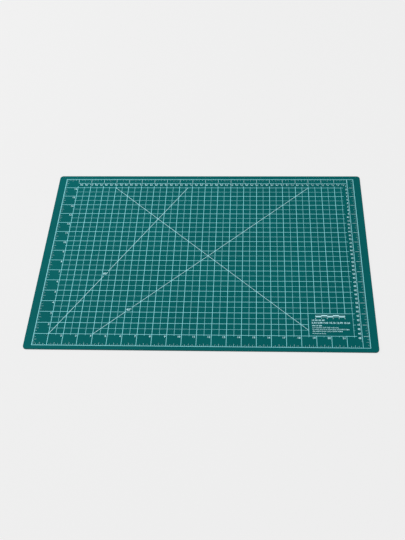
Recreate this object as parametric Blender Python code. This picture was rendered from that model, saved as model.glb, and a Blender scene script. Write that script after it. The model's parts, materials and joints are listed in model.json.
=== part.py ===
"""Rotary cutting mat: two soft self-healing sheets bonded to a stiff core, with an inch grid printed on top.

Metres, +Z up. The origin is the middle of the underside, +X runs along the long edge, and +Y runs from
the edge with the numbered bottom scale to the far one.
"""

import math

import bmesh
import bpy
from mathutils import Vector
from mathutils.geometry import delaunay_2d_cdt

# Sheet
MAT_LENGTH = 0.600
MAT_DEPTH = 0.450
CORNER_RADIUS = 0.0065
CUTTING_LAYER = 0.0007
CORE_LAYER = 0.0006
BOND_GAP = 0.0003
RIM_ROUND = 0.0002

# Print: the pitch is one inch, and the whole print sits a little off the sheet's middle
INK_THICKNESS = 0.0001
PITCH = 0.0254
BARE_BORDER = 0.0078
PRINT_TO_RIGHT = 0.0003
PRINT_TO_NEAR_EDGE = 0.0012
FRAME_LINE = 0.0007
GRID_LINE = 0.0006
GUIDE_LINE = 0.0007
TICK_LINE = 0.0005
NUMBER_ROW_LINE = 0.0004
HALF_TICK = 0.0063
FAR_INCH_TICK = 0.0088
GRID_OVERRUN = 0.0040
NUMBER_ROW_DROP = 0.0121
PANEL_PITCHES_WIDE = 3
PANEL_PITCHES_HIGH = 2
STEEP_GUIDE_DEG = 60
CROSSED_GUIDE_DEG = 45
CROSSED_GUIDE_PITCHES = 4

CORNER_SEGMENTS = 10
RIM_SEGMENTS = 2
SHARP_ANGLE_DEG = 40
TINY = 1e-7
TRIANGLES_INSIDE = 1

# Places that follow from the sizes above
CORE_Z = CUTTING_LAYER + BOND_GAP
TOP_Z = CORE_Z + CORE_LAYER + BOND_GAP
INK_Z = TOP_Z + CUTTING_LAYER + BOND_GAP
HALF_PITCH = PITCH / 2


def whole_half_pitches(length, shift):
    """The longest run of half pitches that leaves the bare border at both ends once it is shifted."""
    return math.floor((length - 2 * (BARE_BORDER + shift)) / HALF_PITCH) * HALF_PITCH


FRAME_LENGTH = whole_half_pitches(MAT_LENGTH, PRINT_TO_RIGHT)
FRAME_DEPTH = whole_half_pitches(MAT_DEPTH, PRINT_TO_NEAR_EDGE)
GRID_LEFT = PITCH
GRID_BOTTOM = PITCH
GRID_RIGHT = FRAME_LENGTH - PITCH
GRID_TOP = FRAME_DEPTH - PITCH
PANEL_LEFT = GRID_RIGHT - PANEL_PITCHES_WIDE * PITCH
PANEL_TOP = GRID_BOTTOM + PANEL_PITCHES_HIGH * PITCH


def clear_scene():
    for obj in list(bpy.data.objects):
        bpy.data.objects.remove(obj, do_unlink=True)


def linear(channel):
    """An sRGB channel from 0 to 255 as Blender's linear value."""
    value = channel / 255
    return value / 12.92 if value <= 0.04045 else ((value + 0.055) / 1.055) ** 2.4


def material(name, red, green, blue, roughness):
    made = bpy.data.materials.new(name)
    made.use_nodes = True
    shader = made.node_tree.nodes["Principled BSDF"]
    colour = (linear(red), linear(green), linear(blue), 1)
    shader.inputs["Base Color"].default_value = colour
    shader.inputs["Roughness"].default_value = roughness
    shader.inputs["Metallic"].default_value = 0
    made.diffuse_color = colour
    return made


def add_object(name, bm, z, finish, parent):
    """The bmesh as a named object at height z under the mat's empty."""
    bmesh.ops.recalc_face_normals(bm, faces=bm.faces)
    mesh = bpy.data.meshes.new(name)
    bm.to_mesh(mesh)
    bm.free()
    mesh.materials.append(finish)
    obj = bpy.data.objects.new(name, mesh)
    bpy.context.scene.collection.objects.link(obj)
    obj.parent = parent
    obj.location.z = z
    return obj


def thicken(bm, height):
    """Extrudes the flat faces of the bmesh straight up into a closed solid."""
    made = bmesh.ops.extrude_face_region(bm, geom=bm.faces[:])
    raised = [item for item in made["geom"] if isinstance(item, bmesh.types.BMVert)]
    bmesh.ops.translate(bm, verts=raised, vec=(0, 0, height))


def sheet_outline():
    """The die-cut outline, counter-clockwise, with a quarter arc at each corner."""
    points = []
    across = MAT_LENGTH / 2 - CORNER_RADIUS
    along = MAT_DEPTH / 2 - CORNER_RADIUS
    for quarter, (sx, sy) in enumerate(((1, 1), (-1, 1), (-1, -1), (1, -1))):
        for step in range(CORNER_SEGMENTS + 1):
            angle = math.radians(90 * (quarter + step / CORNER_SEGMENTS))
            x = sx * across + CORNER_RADIUS * math.cos(angle)
            y = sy * along + CORNER_RADIUS * math.sin(angle)
            points.append((x, y, 0))
    return points


def sheet_layer(name, z, thickness, finish, parent, rim=None):
    """One ply of the laminate. Its rim, "upper" or "lower", is the edge that the die rounds over."""
    bm = bmesh.new()
    bm.faces.new([bm.verts.new(point) for point in sheet_outline()])
    thicken(bm, thickness)
    if rim:
        rim_z = thickness if rim == "upper" else 0
        edges = [
            edge
            for edge in bm.edges
            if all(abs(vert.co.z - rim_z) < TINY for vert in edge.verts)
        ]
        bmesh.ops.bevel(
            bm,
            geom=edges,
            offset=min(RIM_ROUND, thickness / 2),
            segments=RIM_SEGMENTS,
            profile=0.5,
            affect="EDGES",
        )
    obj = add_object(name, bm, z, finish, parent)
    obj.data.shade_smooth()
    obj.data.set_sharp_from_angle(angle=math.radians(SHARP_ANGLE_DEG))
    return obj


def strip(start, end, width):
    """The four corners of a printed line, in the frame's own coordinates."""
    start, end = Vector(start), Vector(end)
    side = (end - start).orthogonal().normalized() * (width / 2)
    return [start - side, end - side, end + side, start + side]


def pitches_between(first, last):
    """Multiples of the pitch from first to last, both included."""
    low = math.ceil(first / PITCH - TINY)
    high = math.floor(last / PITCH + TINY)
    return [step * PITCH for step in range(low, high + 1)]


def half_pitches_inside(length):
    """The odd multiples of half a pitch that lie inside a side of this length."""
    count = math.floor(length / PITCH + 0.5 - TINY)
    return [(step + 0.5) * PITCH for step in range(count) if (step + 0.5) * PITCH < length - TINY]


def frame_lines():
    """The border, squared off at its corners, and the inner line that carries the right-hand scale."""
    over = FRAME_LINE / 2
    right, top = FRAME_LENGTH, FRAME_DEPTH
    inner = FRAME_LENGTH - HALF_PITCH
    row = FRAME_DEPTH - NUMBER_ROW_DROP
    return [
        strip((-over, 0), (right + over, 0), FRAME_LINE),
        strip((-over, top), (right + over, top), FRAME_LINE),
        strip((0, -over), (0, top + over), FRAME_LINE),
        strip((right, -over), (right, top + over), FRAME_LINE),
        strip((inner, 0), (inner, top), GRID_LINE),
        strip((GRID_LEFT, row), (inner, row), NUMBER_ROW_LINE),
    ]


def grid_lines():
    """One line each pitch, from the frame through the scale band and across the grid, round the panel."""
    lines = []
    for x in pitches_between(GRID_LEFT, GRID_RIGHT):
        top = (x, GRID_TOP + GRID_OVERRUN)
        if x > PANEL_LEFT + TINY:
            lines.append(strip((x, 0), (x, GRID_BOTTOM), GRID_LINE))
            lines.append(strip((x, PANEL_TOP), top, GRID_LINE))
        else:
            lines.append(strip((x, 0), top, GRID_LINE))
    for y in pitches_between(GRID_BOTTOM, GRID_TOP):
        inside_panel = GRID_BOTTOM + TINY < y < PANEL_TOP - TINY
        right = PANEL_LEFT if inside_panel else GRID_RIGHT + GRID_OVERRUN
        lines.append(strip((0, y), (right, y), GRID_LINE))
    lines.append(strip((GRID_RIGHT, GRID_BOTTOM), (GRID_RIGHT, GRID_TOP), GRID_LINE))
    lines.append(strip((PANEL_LEFT, GRID_BOTTOM), (PANEL_LEFT, PANEL_TOP), GRID_LINE))
    return lines


def scale_ticks():
    """Half-pitch ticks on all four sides, and whole-pitch ticks on the two far ones."""
    lines = []
    right, top = FRAME_LENGTH, FRAME_DEPTH
    for x in half_pitches_inside(FRAME_LENGTH - HALF_PITCH):
        lines.append(strip((x, 0), (x, HALF_TICK), TICK_LINE))
        lines.append(strip((x, top), (x, top - HALF_TICK), TICK_LINE))
    for y in half_pitches_inside(FRAME_DEPTH):
        lines.append(strip((0, y), (HALF_TICK, y), TICK_LINE))
        lines.append(strip((right, y), (right - HALF_TICK, y), TICK_LINE))
    for x in pitches_between(GRID_LEFT, GRID_RIGHT):
        lines.append(strip((x, top), (x, top - FAR_INCH_TICK), TICK_LINE))
    for y in pitches_between(GRID_BOTTOM, GRID_TOP):
        lines.append(strip((right, y), (right - FAR_INCH_TICK, y), TICK_LINE))
    return lines


def guide_line(x, y, degrees):
    """A slanting line from a point on the grid's edge to where it leaves the grid or meets the panel."""
    run = math.cos(math.radians(degrees))
    rise = math.sin(math.radians(degrees))
    edge_y = GRID_TOP if rise > 0 else GRID_BOTTOM
    reach = min((GRID_RIGHT - x) / run, (edge_y - y) / rise)
    to_panel = (PANEL_LEFT - x) / run
    if to_panel < reach and y + rise * to_panel < PANEL_TOP:
        reach = to_panel
    return strip((x, y), (x + run * reach, y + rise * reach), GUIDE_LINE)


def guide_lines():
    crossed_x = CROSSED_GUIDE_PITCHES * PITCH
    return [
        guide_line(GRID_LEFT, GRID_BOTTOM, STEEP_GUIDE_DEG),
        guide_line(crossed_x, GRID_BOTTOM, CROSSED_GUIDE_DEG),
        guide_line(crossed_x, GRID_TOP, -CROSSED_GUIDE_DEG),
    ]


def front_print(finish, parent):
    """The front ink film: every line joined into one flat lattice, then given its thickness.

    A triangle with no source lies in a cell between the lines, so it is left out.
    """
    strips = frame_lines() + grid_lines() + scale_ticks() + guide_lines()
    corner = Vector((PRINT_TO_RIGHT - FRAME_LENGTH / 2, -PRINT_TO_NEAR_EDGE - FRAME_DEPTH / 2))
    points = [corner + point for line in strips for point in line]
    faces = [list(range(first, first + 4)) for first in range(0, len(points), 4)]
    verts, _, triangles, _, _, sources = delaunay_2d_cdt(
        points, [], faces, TRIANGLES_INSIDE, TINY, True
    )
    bm = bmesh.new()
    placed = [bm.verts.new((vert.x, vert.y, 0)) for vert in verts]
    for triangle, source in zip(triangles, sources):
        if source:
            bm.faces.new([placed[index] for index in triangle])
    loose = [vert for vert in bm.verts if not vert.link_faces]
    bmesh.ops.delete(bm, geom=loose, context="VERTS")
    thicken(bm, INK_THICKNESS)
    return add_object("front_print", bm, INK_Z, finish, parent)


def build():
    clear_scene()
    soft_green = material("soft_green_pvc", 12, 96, 97, 0.6)
    stiff_core = material("stiff_core_pvc", 84, 131, 129, 0.5)
    pale_ink = material("pale_ink", 208, 238, 240, 0.55)

    mat = bpy.data.objects.new("cutting_mat", None)
    bpy.context.scene.collection.objects.link(mat)

    sheet_layer("bottom_cutting_layer", 0, CUTTING_LAYER, soft_green, mat, "lower")
    sheet_layer("rigid_core", CORE_Z, CORE_LAYER, stiff_core, mat)
    sheet_layer("top_cutting_layer", TOP_Z, CUTTING_LAYER, soft_green, mat, "upper")
    front_print(pale_ink, mat)


build()
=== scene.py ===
"""Looks of the rotary cutting mat: a soft green three-ply sheet, screen-printed with a grid and scales.

Metres, +Z up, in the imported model's frame: the origin is the middle of the underside and +X runs along the
long edge. The print is drawn in its own coordinates, from the bottom left corner of the printed border.
"""

import json
import math

import bmesh
import bpy
from mathutils import Matrix, Vector
from mathutils.geometry import delaunay_2d_cdt

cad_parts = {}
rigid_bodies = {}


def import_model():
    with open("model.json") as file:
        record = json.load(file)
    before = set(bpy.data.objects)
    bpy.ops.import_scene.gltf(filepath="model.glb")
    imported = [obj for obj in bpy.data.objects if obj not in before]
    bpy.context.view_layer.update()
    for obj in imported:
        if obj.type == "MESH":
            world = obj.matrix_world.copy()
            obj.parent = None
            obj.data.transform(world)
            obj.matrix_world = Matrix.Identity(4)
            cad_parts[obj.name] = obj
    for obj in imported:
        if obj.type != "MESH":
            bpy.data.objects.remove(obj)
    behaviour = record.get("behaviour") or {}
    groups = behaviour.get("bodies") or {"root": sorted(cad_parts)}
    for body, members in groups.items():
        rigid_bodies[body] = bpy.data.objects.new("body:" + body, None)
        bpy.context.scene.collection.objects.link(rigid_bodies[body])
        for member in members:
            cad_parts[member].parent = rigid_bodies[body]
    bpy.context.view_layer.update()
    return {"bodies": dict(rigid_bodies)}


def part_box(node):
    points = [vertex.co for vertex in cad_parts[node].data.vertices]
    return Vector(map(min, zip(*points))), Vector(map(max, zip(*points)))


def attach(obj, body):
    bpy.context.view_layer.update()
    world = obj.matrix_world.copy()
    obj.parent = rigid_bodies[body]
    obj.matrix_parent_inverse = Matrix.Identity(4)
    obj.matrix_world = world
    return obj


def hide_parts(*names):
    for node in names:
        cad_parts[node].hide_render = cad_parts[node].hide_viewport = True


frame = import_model()


def linear(channel):
    """An sRGB channel from 0 to 255 as a linear value."""
    value = channel / 255
    return value / 12.92 if value <= 0.04045 else ((value + 0.055) / 1.055) ** 2.4


def colour(red, green, blue):
    return (linear(red), linear(green), linear(blue), 1)


# Sheet: the plies touch here, and the stiff core shows at the die-cut edge
CORNER_RADIUS = 0.0065
CORNER_SEGMENTS = 24
INK_FILM = 0.00006
INK_SUNK = 0.00002
CORE_RECESS = 0.00008
RIM_ROUND = 0.00045
RIM_SEGMENTS = 5
LOWER_PLY_TOP = 0.0010
CORE_TOP = 0.0018

# Inch print
INCH = 0.0254
FRAME_LENGTH = 22.5 * INCH
FRAME_DEPTH = 17 * INCH
GRID_LEFT = INCH
GRID_BOTTOM = INCH
GRID_RIGHT = FRAME_LENGTH - INCH
GRID_TOP = FRAME_DEPTH - INCH
PANEL_LEFT = GRID_RIGHT - 3 * INCH
PANEL_TOP = GRID_BOTTOM + 2 * INCH
FRAME_LINE = 0.00078
GRID_LINE = 0.00068
HALF_GRID_LINE = 0.00041
GUIDE_LINE = 0.00066
GRID_OVERRUN = 0.0042
HALF_GRID_OVERRUN = 0.0025

# Ticks, as the length and width at each division of the unit
NEAR_TICKS = {8: (0.0020, 0.00024), 4: (0.0040, 0.00027), 2: (0.0059, 0.00031)}
FAR_TICKS = {8: (0.0020, 0.00024), 4: (0.0038, 0.00026), 2: (0.0052, 0.00028), 1: (0.0093, 0.00052)}
METRIC_TICKS = {10: (0.0015, 0.00009), 2: (0.0034, 0.00026), 1: (0.0050, 0.00046)}
METRIC_SIDE_TICKS = {10: (0.0014, 0.00008), 2: (0.0030, 0.00014), 1: (0.0042, 0.00020)}

# Centimetre print: it is read with the mat turned round, so it counts from the far right corner
CENTIMETRE = 0.0100
METRIC_INSET = 0.0122
METRIC_RIGHT = FRAME_LENGTH - METRIC_INSET
METRIC_TOP = FRAME_DEPTH - METRIC_INSET
METRIC_ROW_RUN = METRIC_RIGHT - GRID_LEFT
METRIC_SIDE_RUN = METRIC_TOP - INCH / 2
METRIC_LINE = 0.00052
METRIC_SIDE_LINE = 0.00058

# Numbers
DIGIT_HEIGHT = 0.0038
METRIC_DIGIT_HEIGHT = 0.0032
ANGLE_HEIGHT = 0.0045
FONT_CAP_SHARE = 0.691
FONT_CURVE_STEPS = 4
FINE_SPREAD = 0.00005
INK_SPREAD = 0.00008
HEAVY_SPREAD = 0.00012
NUMBER_GAP = 0.0017
BOTTOM_NUMBERS_Y = 0.0212
LEFT_NUMBERS_DROP = 0.0039
METRIC_NUMBER_SHIFT = 0.0026
METRIC_NUMBER_DROP = 0.0050
METRIC_NUMBER_RISE = 0.0022
METRIC_NUMBER_INSET = 0.0017

# Guide lines, as start and end, and their labels' places, in inches. The break for a label is in metres
STEEP_GUIDE = ((1, 1), (1 + 15 / math.tan(math.radians(60)), 16))
RISING_GUIDE = ((4, 1), (19, 16))
FALLING_GUIDE = ((4, 16), (18.5, 1.5))
STEEP_LABEL = (4.23, 6.66)
RISING_LABEL = (6.23, 3.23)
LABEL_BREAK = 0.0140

# Number panel: a bar scale over a small inch to metric table
INCH_IN_CM = 2.54
INCH_IN_MM = 25.4
FOOT_IN_MM = 304.8
BAR_BLOCKS = 5
BAR_LEFT = 19.99 * INCH - BAR_BLOCKS * CENTIMETRE / 2
BAR_Y = 2.77 * INCH
BAR_HEIGHT = 0.0046
BAR_LINE = 0.00035
BAR_LAP = 0.00005
BAR_NUMBERS_Y = 2.565 * INCH
BAR_DIGIT_HEIGHT = 0.0019

# Underside print, a plain centimetre frame
BACK_STEP = 5 * CENTIMETRE
BACK_LENGTH = 0.5700
BACK_DEPTH = 0.4200
BACK_LINE = 0.00040
BACK_TICK = (0.0050, 0.00040)
BACK_NUMBER_GAP = 0.0040

# Colours, and the shaders' plain values
PVC_BASE = colour(0, 94, 95)
PVC_LIGHT = colour(4, 103, 105)
PVC_DARK = colour(0, 89, 90)
PVC_SPECK_SHARE = 0.35
PVC_ROUGHNESS = (0.56, 0.68)
PVC_SPECULAR = 0.03
CORE_BASE = colour(72, 122, 120)
CORE_STREAK = colour(96, 140, 137)
CORE_ROUGHNESS = 0.5
CORE_SPECULAR = 0.3
LINE_INK = colour(160, 245, 253)
LINE_INK_THIN = colour(144, 230, 240)
BOLD_INK = colour(198, 248, 255)
BOLD_INK_THIN = colour(184, 237, 246)
INK_ROUGHNESS = (0.50, 0.62)
INK_SPECULAR = 0.25
FLOOR_TONE = 239
FLOOR_ROUGHNESS = 0.9
WHITE = (1, 1, 1, 1)

# Noise patterns, as features per metre and octaves of detail
PVC_CLOUDS = (9, 3)
PVC_SPECKS = (1400, 2)
PVC_SHINE = (40, 4)
PVC_PEBBLES = (1700, 2)
PVC_WAVES = (60, 2)
CORE_STREAKS = (700, 3)
CORE_GRAIN = (1800, 2)
INK_PATCHES = (600, 3)
INK_SHINE = (300, 2)
INK_GRAIN = (2600, 2)

# The part of a noise's range that a mix runs over
WIDE_WINDOW = (0.30, 0.70)
NARROW_WINDOW = (0.35, 0.65)
PATCH_WINDOW = (0.35, 0.60)

# Bumps, as strength and height
PVC_PEBBLE_BUMP = (0.9, 0.00016)
PVC_WAVE_BUMP = (0.15, 0.0006)
CORE_BUMP = (0.3, 0.00005)
INK_BUMP = (0.25, 0.00003)

# Camera, lamps and floor
CAMERA_AZIMUTH = -4.353
CAMERA_ELEVATION = 45.729
CAMERA_ROLL = -2.788
CAMERA_DISTANCE = 1.7117
CAMERA_TARGET = (-0.0021, -0.0377, 0.0030)
SENSOR_HEIGHT = 36
FOCAL_LENGTH = 62.93
SKY_LEVEL = 0.57
LAMP_SIZE = 1.4
LAMP_POWER = 44
LAMP_PLACE = (-1.7, 0.9, 1.7)
FLOOR_REACH = 12
FLOOR_GAP = 0.0001
FLOOR_PLAIN_SHARE = 0.93

# Mesh detail
SHARP_ANGLE_DEG = 30
RIM_SUPPORT = 0.0004
TRIANGLES_INSIDE = 1
TINY = 1e-7

# The colour sockets of a mix node, which share their names with its other kinds of socket
MIX_FIRST = 6
MIX_SECOND = 7
MIX_RESULT = 2

ROOT = next(iter(frame["bodies"]))
SHEET_LOW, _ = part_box("bottom_cutting_layer")
_, SHEET_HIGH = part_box("top_cutting_layer")
PRINT_LOW, PRINT_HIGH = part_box("front_print")
MAT_LENGTH = SHEET_HIGH.x - SHEET_LOW.x
MAT_DEPTH = SHEET_HIGH.y - SHEET_LOW.y
MAT_TOP = PRINT_HIGH.z
PRINT_CORNER = (PRINT_LOW.xy + PRINT_HIGH.xy) / 2 - Vector((FRAME_LENGTH, FRAME_DEPTH)) / 2


def node(tree, kind, **inputs):
    """A shader node with its plain inputs set. An input's name takes _ for a space."""
    made = tree.nodes.new(kind)
    for name, value in inputs.items():
        made.inputs[name.replace("_", " ")].default_value = value
    return made


def object_place(tree):
    """The point on the piece in its own metres, which are the frame's."""
    return tree.nodes.new("ShaderNodeTexCoord").outputs["Object"]


def noise(tree, pattern):
    """A noise value. The pattern is its features per metre and its octaves of detail."""
    scale, detail = pattern
    made = node(tree, "ShaderNodeTexNoise", Scale=scale, Detail=detail)
    tree.links.new(object_place(tree), made.inputs["Vector"])
    return made.outputs["Fac"]


def remap(tree, value, window=(0, 1), result=(0, 1)):
    """The value with the window's two ends taken to the result's, and held there beyond them."""
    made = node(tree, "ShaderNodeMapRange", From_Min=window[0], From_Max=window[1], To_Min=result[0],
                To_Max=result[1])
    tree.links.new(value, made.inputs["Value"])
    return made.outputs["Result"]


def blend_colours(tree, share, first, second):
    """From the first colour to the second by a share. Each is a tuple or another node's output."""
    made = tree.nodes.new("ShaderNodeMix")
    made.data_type = "RGBA"
    tree.links.new(share, made.inputs["Factor"])
    for socket, value in ((made.inputs[MIX_FIRST], first), (made.inputs[MIX_SECOND], second)):
        if isinstance(value, tuple):
            socket.default_value = value
        else:
            tree.links.new(value, socket)
    return made.outputs[MIX_RESULT]


def bump(tree, height, size, under=None):
    """A bump normal on top of another one. The size is its strength and its height."""
    strength, distance = size
    made = node(tree, "ShaderNodeBump", Strength=strength, Distance=distance)
    tree.links.new(height, made.inputs["Height"])
    if under:
        tree.links.new(under, made.inputs["Normal"])
    return made.outputs["Normal"]


def new_material(name):
    made = bpy.data.materials.new(name)
    made.use_nodes = True
    return made, made.node_tree, made.node_tree.nodes["Principled BSDF"]


def soft_pvc():
    """Matte self-healing PVC: pebbled, gently wavy, with slow clouds of tone and fine lighter specks."""
    made, tree, shader = new_material("soft_green")
    clouds = remap(tree, noise(tree, PVC_CLOUDS), NARROW_WINDOW)
    specks = remap(tree, noise(tree, PVC_SPECKS), WIDE_WINDOW, (0, PVC_SPECK_SHARE))
    clouded = blend_colours(tree, clouds, PVC_DARK, PVC_BASE)
    tree.links.new(blend_colours(tree, specks, clouded, PVC_LIGHT), shader.inputs["Base Color"])
    shine = remap(tree, noise(tree, PVC_SHINE), WIDE_WINDOW, PVC_ROUGHNESS)
    tree.links.new(shine, shader.inputs["Roughness"])
    shader.inputs["Specular IOR Level"].default_value = PVC_SPECULAR
    waves = bump(tree, noise(tree, PVC_WAVES), PVC_WAVE_BUMP)
    pebbles = bump(tree, noise(tree, PVC_PEBBLES), PVC_PEBBLE_BUMP, waves)
    tree.links.new(pebbles, shader.inputs["Normal"])
    return made


def core_pvc():
    """The stiffer, greyer sheet in the middle, which shows only as a streaked stripe along the cut edge."""
    made, tree, shader = new_material("stiff_core")
    streaks = remap(tree, noise(tree, CORE_STREAKS), WIDE_WINDOW)
    tree.links.new(blend_colours(tree, streaks, CORE_BASE, CORE_STREAK), shader.inputs["Base Color"])
    shader.inputs["Roughness"].default_value = CORE_ROUGHNESS
    shader.inputs["Specular IOR Level"].default_value = CORE_SPECULAR
    tree.links.new(bump(tree, noise(tree, CORE_GRAIN), CORE_BUMP), shader.inputs["Normal"])
    return made


def screen_ink(name, thin, full):
    """Matte screen-printed ink, a little thinner in small patches."""
    made, tree, shader = new_material(name)
    patches = remap(tree, noise(tree, INK_PATCHES), PATCH_WINDOW)
    tree.links.new(blend_colours(tree, patches, thin, full), shader.inputs["Base Color"])
    shine = remap(tree, noise(tree, INK_SHINE), WIDE_WINDOW, INK_ROUGHNESS)
    tree.links.new(shine, shader.inputs["Roughness"])
    shader.inputs["Specular IOR Level"].default_value = INK_SPECULAR
    tree.links.new(bump(tree, noise(tree, INK_GRAIN), INK_BUMP), shader.inputs["Normal"])
    return made


def thicken(bm, height):
    """Extrudes the flat faces of the bmesh straight up into closed solids."""
    made = bmesh.ops.extrude_face_region(bm, geom=bm.faces[:])
    raised = [item for item in made["geom"] if isinstance(item, bmesh.types.BMVert)]
    bmesh.ops.translate(bm, verts=raised, vec=(0, 0, height))


def add_piece(name, bm, finish, slot, *replaced):
    """The bmesh as a piece on the mat's body."""
    bmesh.ops.recalc_face_normals(bm, faces=bm.faces)
    mesh = bpy.data.meshes.new(name)
    bm.to_mesh(mesh)
    bm.free()
    mesh.shade_flat()
    mesh.materials.append(finish)
    piece = bpy.data.objects.new(name, mesh)
    bpy.context.scene.collection.objects.link(piece)
    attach(piece, ROOT)
    if replaced:
        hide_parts(*replaced)
    return piece


def sheet_outline(inset, z):
    """The die-cut outline, drawn in by the inset, with a quarter arc at each corner."""
    points = []
    radius = CORNER_RADIUS - inset
    across = MAT_LENGTH / 2 - CORNER_RADIUS
    along = MAT_DEPTH / 2 - CORNER_RADIUS
    for quarter, (sx, sy) in enumerate(((1, 1), (-1, 1), (-1, -1), (1, -1))):
        for step in range(CORNER_SEGMENTS + 1):
            angle = math.radians(90 * (quarter + step / CORNER_SEGMENTS))
            x = sx * across + radius * math.cos(angle)
            y = sy * along + radius * math.sin(angle)
            points.append((x, y, z))
    return points


def ply(name, rings, finish, slot, replaced):
    """One ply as a stack of outlines, each an inset and a height, closed by a flat face at both ends.

    The outline just inside each end keeps the wide face's shading flat up to its rounded rim.
    """
    bm = bmesh.new()
    loops = [[bm.verts.new(point) for point in sheet_outline(inset, z)] for inset, z in rings]
    for lower, upper in zip(loops, loops[1:]):
        for index in range(len(lower)):
            after = (index + 1) % len(lower)
            bm.faces.new((lower[index], lower[after], upper[after], upper[index]))
    bm.faces.new(list(reversed(loops[0])))
    bm.faces.new(loops[-1])
    piece = add_piece(name, bm, finish, slot, replaced)
    piece.data.shade_smooth()
    piece.data.set_sharp_from_angle(angle=math.radians(SHARP_ANGLE_DEG))
    return piece


def rounded_rim(z, outward):
    """The rings of a quarter round at height z, from the side wall to the flat face."""
    rings = []
    for step in range(RIM_SEGMENTS + 1):
        angle = math.radians(90 * step / RIM_SEGMENTS)
        inset = RIM_ROUND * (1 - math.cos(angle))
        rings.append((inset, z - outward * RIM_ROUND * (1 - math.sin(angle))))
    rings.append((RIM_ROUND + RIM_SUPPORT, z))
    return rings


def make_sheet():
    """The three plies, face to face. Each print is sunk a little into its ply and stands a little proud."""
    green = soft_pvc()
    underside = INK_FILM - INK_SUNK
    face = MAT_TOP - INK_FILM + INK_SUNK
    lower = list(reversed(rounded_rim(underside, -1)))
    ply("bottom_cutting_sheet", lower + [(0, LOWER_PLY_TOP), (RIM_SUPPORT, LOWER_PLY_TOP)], green,
        "soft_green_pvc", "bottom_cutting_layer")
    ply("core_sheet", [(CORE_RECESS, LOWER_PLY_TOP), (CORE_RECESS, CORE_TOP)], core_pvc(),
        "stiff_core_pvc", "rigid_core")
    ply("top_cutting_sheet", [(RIM_SUPPORT, CORE_TOP), (0, CORE_TOP)] + rounded_rim(face, 1), green,
        "soft_green_pvc", "top_cutting_layer")


def strip(start, end, width):
    """The four corners of a printed line between two points of the print."""
    start, end = Vector(start), Vector(end)
    side = (end - start).orthogonal().normalized() * (width / 2)
    return [start - side, end - side, end + side, start + side]


def bar(x0, y0, x1, y1):
    """The four corners of an upright rectangle."""
    x0, x1 = sorted((x0, x1))
    y0, y1 = sorted((y0, y1))
    return [Vector((x0, y0)), Vector((x1, y0)), Vector((x1, y1)), Vector((x0, y1))]


def multiples(step, first, last):
    """Multiples of the step from first to last, both included."""
    low = math.ceil(first / step - TINY)
    high = math.floor(last / step + TINY)
    return [count * step for count in range(low, high + 1)]


def is_multiple(value, step):
    return abs(value / step - round(value / step)) < TINY


def outline(x0, y0, x1, y1, width):
    """Four mitred lines round a rectangle, centred on its sides."""
    over = width / 2
    outer = bar(x0 - over, y0 - over, x1 + over, y1 + over)
    inner = bar(x0 + over, y0 + over, x1 - over, y1 - over)
    sides = []
    for corner in range(4):
        after = (corner + 1) % 4
        sides.append([outer[corner], outer[after], inner[after], inner[corner]])
    return sides


def in_panel(x, y):
    return PANEL_LEFT + TINY < x < GRID_RIGHT - TINY and GRID_BOTTOM + TINY < y < PANEL_TOP - TINY


def grid_lines(step, width, left, bottom, over):
    """Lines at each step, broken by the panel, from left and bottom to a little past the grid."""
    lines = []
    for x in multiples(step, GRID_LEFT, GRID_RIGHT):
        top = (x, GRID_TOP + over)
        if in_panel(x, (GRID_BOTTOM + PANEL_TOP) / 2):
            lines.append(strip((x, bottom), (x, GRID_BOTTOM), width))
            lines.append(strip((x, PANEL_TOP), top, width))
        else:
            lines.append(strip((x, bottom), top, width))
    for y in multiples(step, GRID_BOTTOM, GRID_TOP):
        right = (GRID_RIGHT + over, y)
        if in_panel((PANEL_LEFT + GRID_RIGHT) / 2, y):
            lines.append(strip((left, y), (PANEL_LEFT, y), width))
            lines.append(strip((GRID_RIGHT, y), right, width))
        else:
            lines.append(strip((left, y), right, width))
    return lines


def inch_grid():
    lines = grid_lines(INCH, GRID_LINE, 0, 0, GRID_OVERRUN)
    lines.append(strip((GRID_RIGHT, GRID_BOTTOM), (GRID_RIGHT, PANEL_TOP), HALF_GRID_LINE))
    lines.append(strip((PANEL_LEFT, GRID_BOTTOM), (PANEL_LEFT, PANEL_TOP), GRID_LINE))
    return lines


def half_inch_grid():
    over = HALF_GRID_OVERRUN
    return grid_lines(INCH / 2, HALF_GRID_LINE, GRID_LEFT - over, GRID_BOTTOM - over, over)


def metric_rails():
    """The two lines that carry the centimetres."""
    return [
        strip((METRIC_RIGHT, 0), (METRIC_RIGHT, FRAME_DEPTH), METRIC_SIDE_LINE),
        strip((GRID_LEFT, METRIC_TOP), (METRIC_RIGHT, METRIC_TOP), METRIC_LINE),
    ]


def guide_lines():
    """The slanting lines, given in inches, each broken where its angle is printed."""
    lines = []
    for (start, end), label in (
        (STEEP_GUIDE, STEEP_LABEL),
        (RISING_GUIDE, RISING_LABEL),
        (FALLING_GUIDE, None),
    ):
        start, end = Vector(start) * INCH, Vector(end) * INCH
        if label:
            along = (end - start).normalized()
            middle = start + along * (Vector(label) * INCH - start).dot(along)
            lines.append(strip(start, middle - along * LABEL_BREAK / 2, GUIDE_LINE))
            start = middle + along * LABEL_BREAK / 2
        lines.append(strip(start, end, GUIDE_LINE))
    return lines


def tick_size(place, unit, ticks):
    """The length and width of the tick at this place: those of the coarsest division with a tick there."""
    for division in sorted(ticks):
        if is_multiple(place, unit / division):
            return ticks[division]
    return 0, 0


def tick_across(x, edge, reach, size):
    """A tick that stands on a level line and points up or down, as reach is 1 or -1."""
    length, width = size
    return bar(x - width / 2, edge, x + width / 2, edge + reach * length)


def tick_along(y, edge, reach, size):
    """A tick that stands on an upright line and points right or left, as reach is 1 or -1."""
    length, width = size
    return bar(edge, y - width / 2, edge + reach * length, y + width / 2)


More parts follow.
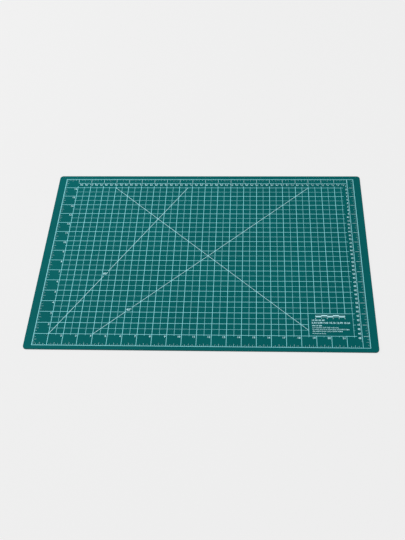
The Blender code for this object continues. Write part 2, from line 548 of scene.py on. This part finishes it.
def inch_ticks():
    """Eighths along all four sides, from the border inwards. The near whole inches are grid lines."""
    bars = []
    edge = FRAME_LINE / 2
    right, top = FRAME_LENGTH - edge, FRAME_DEPTH - edge
    for x in multiples(INCH / 8, INCH / 8, FRAME_LENGTH - INCH / 8):
        if not is_multiple(x, INCH) and x < METRIC_RIGHT + TINY:
            bars.append(tick_across(x, edge, 1, tick_size(x, INCH, NEAR_TICKS)))
        if x < METRIC_RIGHT - TINY:
            bars.append(tick_across(x, top, -1, tick_size(x, INCH, FAR_TICKS)))
    for y in multiples(INCH / 8, INCH / 8, FRAME_DEPTH - INCH / 8):
        if not is_multiple(y, INCH):
            bars.append(tick_along(y, edge, 1, tick_size(y, INCH, NEAR_TICKS)))
        bars.append(tick_along(y, right, -1, tick_size(y, INCH, FAR_TICKS)))
    return bars


def metric_ticks():
    """Millimetres, half and whole centimetres, from their rails into the mat."""
    bars = []
    top = METRIC_TOP - METRIC_LINE / 2
    for run in multiples(CENTIMETRE / 10, CENTIMETRE / 10, METRIC_ROW_RUN):
        size = tick_size(run, CENTIMETRE, METRIC_TICKS)
        bars.append(tick_across(METRIC_RIGHT - run, top, -1, size))
    right = METRIC_RIGHT - METRIC_SIDE_LINE / 2
    for run in multiples(CENTIMETRE / 10, CENTIMETRE / 10, METRIC_SIDE_RUN):
        size = tick_size(run, CENTIMETRE, METRIC_SIDE_TICKS)
        bars.append(tick_along(METRIC_TOP - run, right, -1, size))
    return bars


def joined_lines(classes):
    """Joins crossing lines into flat lattices that tile without overlapping, one for each class.

    Where lines of several classes cross, the first class in the list has the crossing. A triangle of
    the whole that lies on no line is a cell between them, and is left out.
    """
    owners, points = [], []
    for order, lines in enumerate(classes):
        for corners in lines:
            owners.append(order)
            points.extend(corners)
    faces = [list(range(first, first + 4)) for first in range(0, len(points), 4)]
    verts, _, triangles, _, _, sources = delaunay_2d_cdt(
        points, [], faces, TRIANGLES_INSIDE, TINY, True
    )
    lattices = []
    for order in range(len(classes)):
        bm = bmesh.new()
        placed = {}
        for triangle, source in zip(triangles, sources):
            if source and min(owners[face] for face in source) == order:
                for index in triangle:
                    if index not in placed:
                        placed[index] = bm.verts.new((verts[index].x, verts[index].y, 0))
                bm.faces.new([placed[index] for index in triangle])
        lattices.append(bm)
    return lattices


def flat_shapes(shapes):
    """Separate flat faces, one for each list of corners."""
    bm = bmesh.new()
    for corners in shapes:
        bm.faces.new([bm.verts.new((corner.x, corner.y, 0)) for corner in corners])
    return bm


def add_print(name, bm, ink, *replaced):
    """A flat part of the front print, given its film thickness and laid on the top ply."""
    thicken(bm, INK_FILM)
    low = MAT_TOP - INK_FILM
    bmesh.ops.translate(bm, verts=bm.verts, vec=(PRINT_CORNER.x, PRINT_CORNER.y, low))
    add_piece(name, bm, ink, "pale_ink", *replaced)


def make_writer():
    """The text object that every number is shaped with. It is never shown."""
    curve = bpy.data.curves.new("number_shaper", "FONT")
    curve.resolution_u = FONT_CURVE_STEPS
    writer = bpy.data.objects.new("number_shaper", curve)
    bpy.context.scene.collection.objects.link(writer)
    return writer


def write(bm, writer, text, x, y, height, align="CENTER", turned=False, mirrored=False, width=None,
          spread=INK_SPREAD):
    """Adds flat figures of this height, centred on y, with their middle or one end at x.

    A width, where one is given, stretches or narrows them to it. The ink spreads each stroke's sides.
    """
    writer.data.body = text
    writer.data.align_x = align
    writer.data.size = height / FONT_CAP_SHARE
    writer.data.offset = spread
    bpy.context.view_layer.update()
    shaped = writer.evaluated_get(bpy.context.evaluated_depsgraph_get())
    mesh = bpy.data.meshes.new_from_object(shaped)
    place = Matrix.Translation((x, y, 0))
    if turned:
        place = place @ Matrix.Rotation(math.pi, 4, "Z")
    if mirrored:
        place = place @ Matrix.Diagonal((-1, 1, 1, 1))
    if width:
        place = place @ Matrix.Diagonal((width / shaped.dimensions.x, 1, 1, 1))
    mesh.transform(place @ Matrix.Translation((0, -height / 2, 0)))
    bm.from_mesh(mesh)
    bpy.data.meshes.remove(mesh)


def inch_numbers(writer):
    bm = bmesh.new()
    for count, x in enumerate(multiples(INCH, GRID_LEFT, GRID_RIGHT), 1):
        write(bm, writer, str(count), x - NUMBER_GAP, BOTTOM_NUMBERS_Y, DIGIT_HEIGHT, "RIGHT")
    for count, y in enumerate(multiples(INCH, GRID_BOTTOM, GRID_TOP), 1):
        write(bm, writer, str(count), GRID_LEFT - NUMBER_GAP, y - LEFT_NUMBERS_DROP, DIGIT_HEIGHT, "RIGHT")
    return bm


def centimetre_numbers(writer):
    """Upside down from the near side, because this scale is read from the far one."""
    bm = bmesh.new()
    for count, run in enumerate(multiples(CENTIMETRE, CENTIMETRE, METRIC_ROW_RUN), 1):
        x = METRIC_RIGHT - run + METRIC_NUMBER_SHIFT
        write(bm, writer, str(count), x, METRIC_TOP - METRIC_NUMBER_DROP, METRIC_DIGIT_HEIGHT, turned=True)
    for count, run in enumerate(multiples(CENTIMETRE, CENTIMETRE, METRIC_SIDE_RUN), 1):
        y = METRIC_TOP - run + METRIC_NUMBER_RISE
        write(bm, writer, str(count), METRIC_RIGHT - METRIC_NUMBER_INSET, y, METRIC_DIGIT_HEIGHT,
              "LEFT", turned=True, spread=HEAVY_SPREAD)
    return bm


def angle_labels(writer):
    bm = bmesh.new()
    for text, place in (("60°", STEEP_LABEL), ("45°", RISING_LABEL)):
        x, y = Vector(place) * INCH
        write(bm, writer, text, x, y, ANGLE_HEIGHT, spread=HEAVY_SPREAD)
    return bm


def panel_bar():
    """A plain centimetre bar scale of half-height blocks. Each laps a little onto its neighbours."""
    right = BAR_LEFT + BAR_BLOCKS * CENTIMETRE
    low, high = BAR_Y - BAR_HEIGHT / 2, BAR_Y + BAR_HEIGHT / 2
    shapes = outline(BAR_LEFT, low, right, high, BAR_LINE)
    for block in range(BAR_BLOCKS):
        start, end = BAR_LEFT + block * CENTIMETRE, BAR_LEFT + (block + 1) * CENTIMETRE
        bottom, top = (BAR_Y - BAR_LAP, high) if block % 2 else (low, BAR_Y + BAR_LAP)
        shapes.append(bar(start - BAR_LAP, bottom, end + BAR_LAP, top))
    return shapes


def panel_rows():
    """The rows of a plain inch to metric table.

    A row is its place up the print and its two ends, in inches, then its figures' height, the spread of
    their ink and the figures.
    """
    tens = [str(10 * count) for count in range(1, 5)]
    inches = [f"{INCH_IN_CM * count:.2f}" for count in range(1, 7)]
    eighths = ["1/8", "1/4", "3/8"]
    eighths_metric = [f"{INCH_IN_MM * count / 8:.2f}" for count in range(1, 8)]
    inches_metric = [f"{INCH_IN_MM * count:.1f}" for count in range(1, 10)]
    feet_metric = [f"{FOOT_IN_MM * count:.1f}" for count in range(1, 7)]
    more_tens = [str(10 * count) for count in range(1, 7)]
    return [
        (2.40, 18.72, 19.55, 0.0027, HEAVY_SPREAD, tens),
        (2.17, 18.72, 21.28, 0.0033, HEAVY_SPREAD, inches),
        (1.92, 18.72, 19.35, 0.0024, HEAVY_SPREAD, eighths),
        (1.75, 18.75, 20.50, 0.0019, FINE_SPREAD, eighths_metric),
        (1.59, 18.75, 21.20, 0.0023, FINE_SPREAD, inches_metric),
        (1.42, 18.75, 20.75, 0.0020, FINE_SPREAD, feet_metric),
        (1.22, 18.72, 19.60, 0.0015, FINE_SPREAD, more_tens),
    ]


def number_panel(writer):
    [bm] = joined_lines([panel_bar()])
    for count in range(BAR_BLOCKS + 1):
        write(bm, writer, str(count), BAR_LEFT + count * CENTIMETRE, BAR_NUMBERS_Y, BAR_DIGIT_HEIGHT)
    for y, first, last, height, spread, figures in panel_rows():
        write(bm, writer, " ".join(figures), first * INCH, y * INCH, height, "LEFT",
              width=(last - first) * INCH, spread=spread)
    return bm


def make_front_print(line_ink, bold_ink, writer):
    border_lines = outline(0, 0, FRAME_LENGTH, FRAME_DEPTH, FRAME_LINE)
    guides, border, inches, halves, rails = joined_lines(
        [guide_lines(), border_lines, inch_grid(), half_inch_grid(), metric_rails()]
    )
    add_print("print_border", border, line_ink, "front_print")
    add_print("print_inch_grid", inches, line_ink, "front_print")
    add_print("print_half_inch_grid", halves, line_ink, "front_print")
    add_print("print_guide_lines", guides, bold_ink, "front_print")
    add_print("print_metric_rails", rails, line_ink, "front_print")
    add_print("print_inch_ticks", flat_shapes(inch_ticks()), bold_ink, "front_print")
    add_print("print_metric_ticks", flat_shapes(metric_ticks()), bold_ink)
    add_print("print_inch_numbers", inch_numbers(writer), bold_ink)
    add_print("print_centimetre_numbers", centimetre_numbers(writer), bold_ink)
    add_print("print_angle_labels", angle_labels(writer), bold_ink)
    add_print("print_number_panel", number_panel(writer), bold_ink)


def make_back_print(ink, writer):
    """The underside's plain centimetre frame, its figures mirrored so that they read from below."""
    across = BACK_LENGTH / 2
    along = BACK_DEPTH / 2
    lines = []
    for x in multiples(BACK_STEP, -across, across):
        lines.append(strip((x, -along), (x, along), BACK_LINE))
    for y in multiples(BACK_STEP, -along, along):
        lines.append(strip((-across, y), (across, y), BACK_LINE))
    lines.extend(outline(-across, -along, across, along, FRAME_LINE))
    [lattice] = joined_lines([lines])
    over = FRAME_LINE / 2
    ticks = []
    for side in (-1, 1):
        for x in multiples(CENTIMETRE, -across + CENTIMETRE, across - CENTIMETRE):
            if not is_multiple(x, BACK_STEP):
                ticks.append(tick_across(x, side * (along - over), -side, BACK_TICK))
        for y in multiples(CENTIMETRE, -along + CENTIMETRE, along - CENTIMETRE):
            if not is_multiple(y, BACK_STEP):
                ticks.append(tick_along(y, side * (across - over), -side, BACK_TICK))
    numbers = bmesh.new()
    for x in multiples(BACK_STEP, -across + BACK_STEP / 2, across - BACK_STEP / 2):
        count = round((across - x) / CENTIMETRE)
        write(numbers, writer, str(count), x + BACK_NUMBER_GAP, -along + BACK_NUMBER_GAP, DIGIT_HEIGHT,
              mirrored=True)
    for y in multiples(BACK_STEP, -along + BACK_STEP / 2, along - BACK_STEP / 2):
        count = round((along + y) / CENTIMETRE)
        write(numbers, writer, str(count), across - BACK_NUMBER_GAP, y - BACK_NUMBER_GAP, DIGIT_HEIGHT,
              mirrored=True)
    for name, bm in (
        ("back_print_lines", lattice),
        ("back_print_ticks", flat_shapes(ticks)),
        ("back_print_numbers", numbers),
    ):
        thicken(bm, INK_FILM)
        add_piece(name, bm, ink, "pale_ink")


def make_floor():
    """A pale floor, mostly a plain tone where the camera sees it, so that the mat's shadow stays faint."""
    made, tree, shader = new_material("pale_floor")
    tone = colour(FLOOR_TONE, FLOOR_TONE, FLOOR_TONE)
    shader.inputs["Base Color"].default_value = tone
    shader.inputs["Roughness"].default_value = FLOOR_ROUGHNESS
    shader.inputs["Specular IOR Level"].default_value = 0
    glow = node(tree, "ShaderNodeEmission", Color=tone, Strength=1)
    seen = tree.nodes.new("ShaderNodeLightPath").outputs["Is Camera Ray"]
    share = remap(tree, seen, result=(0, FLOOR_PLAIN_SHARE))
    mixed = tree.nodes.new("ShaderNodeMixShader")
    tree.links.new(share, mixed.inputs[0])
    tree.links.new(shader.outputs[0], mixed.inputs[1])
    tree.links.new(glow.outputs[0], mixed.inputs[2])
    tree.links.new(mixed.outputs[0], tree.nodes["Material Output"].inputs["Surface"])
    bm = bmesh.new()
    bmesh.ops.create_grid(bm, x_segments=1, y_segments=1, size=FLOOR_REACH)
    mesh = bpy.data.meshes.new("floor")
    bm.to_mesh(mesh)
    bm.free()
    mesh.materials.append(made)
    floor = bpy.data.objects.new("floor", mesh)
    floor.location.z = -FLOOR_GAP
    bpy.context.scene.collection.objects.link(floor)


def make_lights():
    """A near-even sky and one large soft lamp, up and back on the left."""
    world = bpy.data.worlds.new("soft_sky")
    bpy.context.scene.world = world
    world.use_nodes = True
    tree = world.node_tree
    sky = tree.nodes["Background"]
    sky.inputs["Color"].default_value = WHITE
    seen = tree.nodes.new("ShaderNodeLightPath").outputs["Is Camera Ray"]
    level = remap(tree, seen, result=(SKY_LEVEL, linear(FLOOR_TONE)))
    tree.links.new(level, sky.inputs["Strength"])
    lamp = bpy.data.lights.new("soft_lamp", "AREA")
    lamp.shape = "SQUARE"
    lamp.size = LAMP_SIZE
    lamp.energy = LAMP_POWER
    holder = bpy.data.objects.new("soft_lamp", lamp)
    holder.location = LAMP_PLACE
    holder.rotation_euler = (-Vector(LAMP_PLACE)).to_track_quat("-Z", "Y").to_euler()
    bpy.context.scene.collection.objects.link(holder)


def make_camera():
    """The photograph's view, found from the printed inch grid."""
    azimuth = math.radians(CAMERA_AZIMUTH)
    elevation = math.radians(CAMERA_ELEVATION)
    roll = math.radians(CAMERA_ROLL)
    forward = Vector((
        math.sin(azimuth) * math.cos(elevation),
        math.cos(azimuth) * math.cos(elevation),
        -math.sin(elevation),
    ))
    right = forward.cross(Vector((0, 0, 1))).normalized()
    up = right.cross(forward)
    turned_right = math.cos(roll) * right + math.sin(roll) * up
    turned_up = math.cos(roll) * up - math.sin(roll) * right
    lens = bpy.data.cameras.new("camera")
    lens.sensor_fit = "VERTICAL"
    lens.sensor_height = SENSOR_HEIGHT
    lens.lens = FOCAL_LENGTH
    camera = bpy.data.objects.new("camera", lens)
    bpy.context.scene.collection.objects.link(camera)
    place = Vector(CAMERA_TARGET) - forward * CAMERA_DISTANCE
    turn = Matrix((turned_right, turned_up, -forward)).transposed()
    camera.matrix_world = Matrix.Translation(place) @ turn.to_4x4()
    bpy.context.scene.camera = camera


make_camera()
make_sheet()
line_ink = screen_ink("line_ink", LINE_INK_THIN, LINE_INK)
bold_ink = screen_ink("bold_ink", BOLD_INK_THIN, BOLD_INK)
number_shaper = make_writer()
make_front_print(line_ink, bold_ink, number_shaper)
make_back_print(line_ink, number_shaper)
bpy.data.objects.remove(number_shaper, do_unlink=True)
make_floor()
make_lights()

bpy.context.scene.view_settings.view_transform = "Standard"
